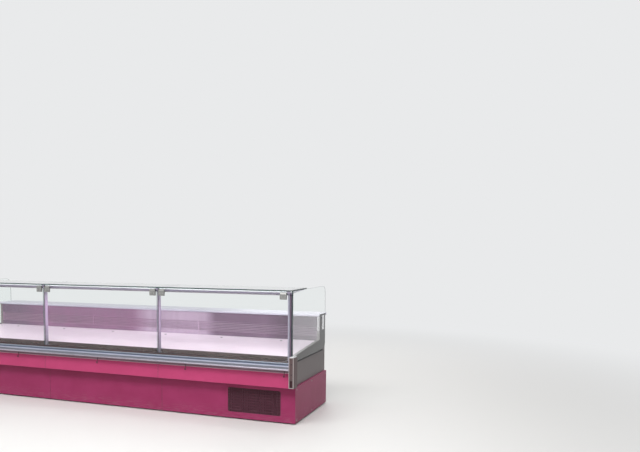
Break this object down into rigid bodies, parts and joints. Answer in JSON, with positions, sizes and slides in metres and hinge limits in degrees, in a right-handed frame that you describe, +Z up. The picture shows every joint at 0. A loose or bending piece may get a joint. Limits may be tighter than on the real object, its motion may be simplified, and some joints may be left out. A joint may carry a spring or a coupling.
{
  "type": "refrigerated serve-over display counter",
  "caption": "Chilled serve-over shop counter: painted front, ribbed bumper, straight lifting front panes, glass shelf, sloping display deck and rear worktop.",
  "frame": {"origin": "middle of the footprint on the floor", "axes": "+X along the counter to the customer's right, -Y towards the customer, +Z up"},
  "size_m": [4.068, 1.14, 1.2],
  "materials": {
    "foot_plastic": "moulded black polyamide",
    "galvanised_steel": "pressed, galvanised",
    "crimson_paint": "powder coat, satin",
    "grille_paint": "powder coat, matt",
    "fuchsia_paint": "powder coat, satin",
    "bumper_aluminium": "anodised, satin",
    "nosing_plastic": "extruded, satin",
    "hook_wire": "dip coated",
    "coated_sheet": "precoated sheet over foam",
    "end_panel_sheet": "satin",
    "lip_profile": "satin",
    "deck_steel": "brushed",
    "lining_steel": "satin",
    "grille_plastic": "moulded",
    "worktop_steel": "brushed",
    "frame_aluminium": "anodised, satin",
    "lamp_sheet": "white enamel",
    "lamp_diffuser": "opal, lit",
    "clear_glass": "toughened float glass with polished edges",
    "bumper_end_plastic": "moulded, fine grain",
    "bright_trim": "polished",
    "clamp_alloy": "cast, satin"
  },
  "bodies": {
    "cabinet": {"feet": "foot_plastic", "pedestals": "galvanised_steel", "lower_panel_left": "crimson_paint", "lower_panel_middle": "crimson_paint", "lower_panel_right": "crimson_paint", "side_cover_left": "crimson_paint", "side_cover_right": "crimson_paint", "intake_grille": "grille_paint", "skirt_panels": "fuchsia_paint", "bumper_rail": "bumper_aluminium", "bumper_nosing": "nosing_plastic", "bag_hooks": "hook_wire", "tub_floor": "coated_sheet", "tub_front": "coated_sheet", "tub_rear": "coated_sheet", "rear_panels": "coated_sheet", "end_panel_left": "end_panel_sheet", "end_panel_right": "end_panel_sheet", "front_lip": "lip_profile", "deck_left": "deck_steel", "deck_middle": "deck_steel", "deck_right": "deck_steel", "rear_lining": "lining_steel", "air_grille": "grille_plastic", "worktop": "worktop_steel", "end_posts": "frame_aluminium", "middle_posts": "frame_aluminium", "front_rail": "frame_aluminium", "shelf_arms": "frame_aluminium", "pane_hinges": "frame_aluminium", "lamp_housings": "lamp_sheet", "lamp_tubes": "lamp_diffuser", "service_shelf": "clear_glass", "end_glass_left": "clear_glass", "end_glass_right": "clear_glass", "bumper_end_left": "bumper_end_plastic", "bumper_end_right": "bumper_end_plastic", "end_trims": "bright_trim"},
    "pane_left": {"front_glass_left": "clear_glass", "glass_clamps_left": "clamp_alloy"},
    "pane_middle": {"front_glass_middle": "clear_glass", "glass_clamps_middle": "clamp_alloy"},
    "pane_right": {"front_glass_right": "clear_glass", "glass_clamps_right": "clamp_alloy"}
  },
  "joints": [
    {"name": "pane_left_lift", "type": "hinge", "parent": "cabinet", "child": "pane_left", "pos_m": [-1.315, -0.515, 1.173], "axis": [-1, 0, 0], "range_deg": [0, 80]},
    {"name": "pane_middle_lift", "type": "hinge", "parent": "cabinet", "child": "pane_middle", "pos_m": [0, -0.515, 1.173], "axis": [-1, 0, 0], "range_deg": [0, 80]},
    {"name": "pane_right_lift", "type": "hinge", "parent": "cabinet", "child": "pane_right", "pos_m": [1.315, -0.515, 1.173], "axis": [-1, 0, 0], "range_deg": [0, 80]}
  ]
}
